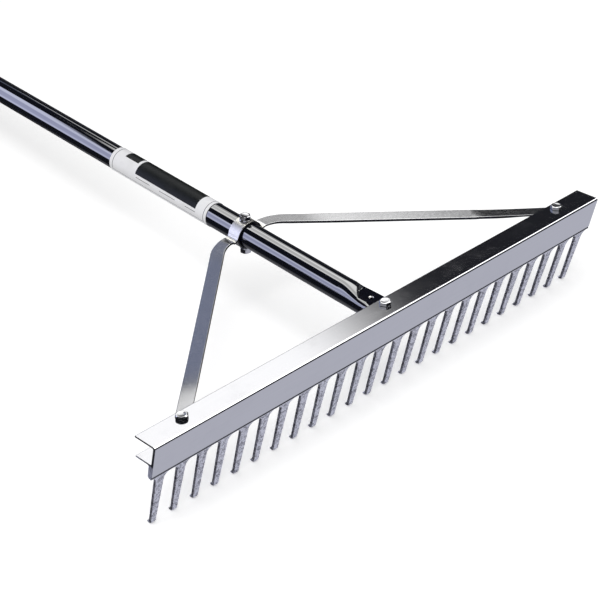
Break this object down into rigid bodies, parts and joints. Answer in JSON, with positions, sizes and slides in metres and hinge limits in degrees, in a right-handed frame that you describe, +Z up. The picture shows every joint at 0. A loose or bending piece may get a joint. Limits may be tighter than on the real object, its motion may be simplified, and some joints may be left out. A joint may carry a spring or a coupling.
{
  "type": "field rake",
  "caption": "Wide field rake: an extruded head with a comb of tapered teeth, a black tube handle and two bolted flat braces.",
  "frame": {"origin": "the ground under the middle of the object's box, with the teeth and the end cap on it", "axes": "+X along the head, +Y from the head towards the handle's free end, +Z up"},
  "size_m": [0.6096, 1.6612, 0.1143],
  "materials": {
    "extrusion": "mill-finish extrusion with fine lines along its length, rough tumbled teeth",
    "tube": "near-black gloss paint",
    "cap": "black moulded plastic with a fine grain",
    "label": "satin white paper with a plain black panel and a thin dark border",
    "brace": "galvanised flat bar, mottled, with sheared edges",
    "fastener": "bright zinc plate"
  },
  "bodies": {
    "root": {"rake_head": "extrusion", "handle_tube": "tube", "handle_end_cap": "cap", "handle_label": "label", "left_brace": "brace", "right_brace": "brace", "left_flange_bolt": "fastener", "left_flange_nut": "fastener", "right_flange_bolt": "fastener", "right_flange_nut": "fastener", "centre_bolt": "fastener", "clamp_bolt": "fastener", "clamp_nut": "fastener", "clamp_head_washer": "fastener", "clamp_nut_washer": "fastener"}
  },
  "joints": []
}
